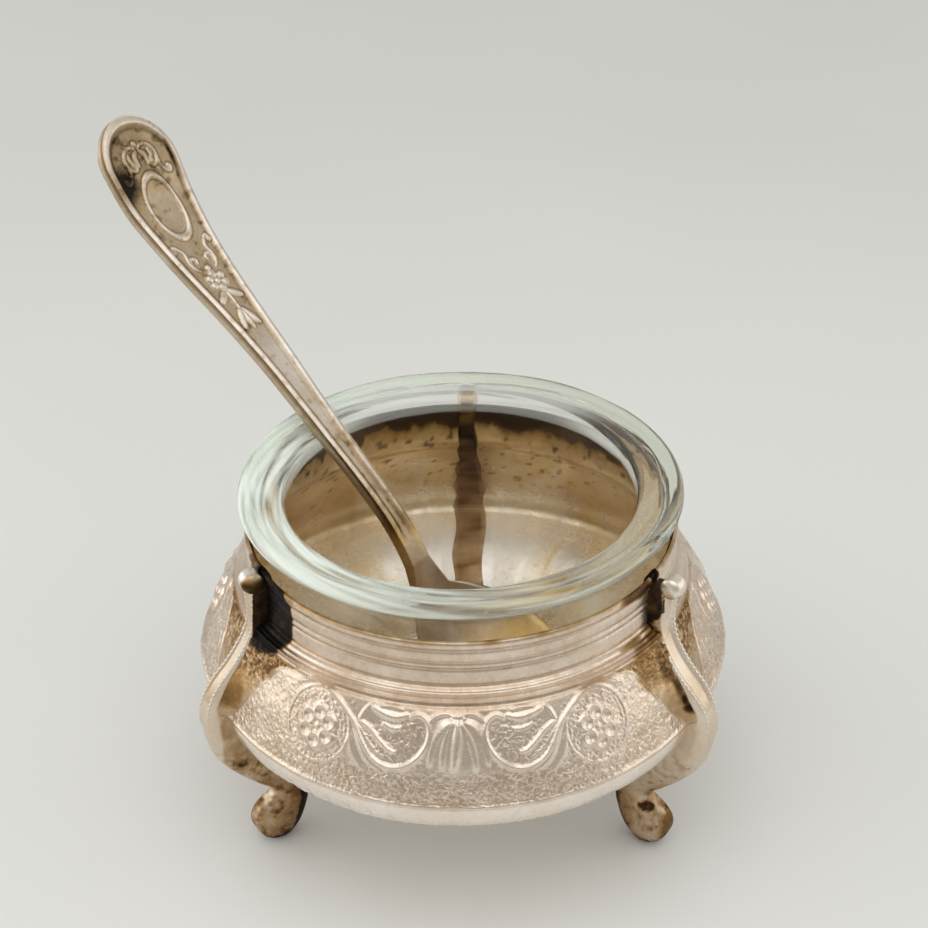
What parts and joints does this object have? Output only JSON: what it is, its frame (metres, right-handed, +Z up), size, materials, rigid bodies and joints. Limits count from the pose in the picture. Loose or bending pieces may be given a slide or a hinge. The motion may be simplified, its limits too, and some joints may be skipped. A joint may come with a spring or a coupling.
{
  "type": "footed sugar bowl with glass liner and spoon",
  "caption": "Round embossed silver frame on cast legs that holds a lift-out glass liner, open at the top, with a teaspoon leaning on the liner's rim.",
  "frame": {"origin": "on the bowl's own axis, at the height of the table the feet stand on", "axes": "+Z up along the bowl's axis, -Y towards the front, with the back leg towards +Y"},
  "size_m": [0.1104, 0.0959, 0.1101],
  "materials": {
    "panel_silver": "pressed silver plate, embossed, polished on the high places and tarnished brown in the ground",
    "leg_silver": "cast silver, pitted and tarnished brown, bright along the edges",
    "clear_glass": "pressed clear glass with a faint green tint and soft mould lines",
    "spoon_silver": "worn silver plate with tarnish in the ornament, and traces of gilding in the bowl"
  },
  "bodies": {
    "frame": {"front_panel": "panel_silver", "right_panel": "panel_silver", "left_panel": "panel_silver", "back_leg": "leg_silver", "left_leg": "leg_silver", "right_leg": "leg_silver"},
    "liner": {"glass_liner": "clear_glass"},
    "spoon": {"spoon": "spoon_silver"}
  },
  "joints": [
    {"name": "liner_lift", "type": "slide", "parent": "frame", "child": "liner", "axis": [0, 0, 1], "range_m": [0, 0.045]},
    {"name": "spoon_lift", "type": "slide", "parent": "liner", "child": "spoon", "axis": [0, 0, 1], "range_m": [0, 0.05]}
  ]
}
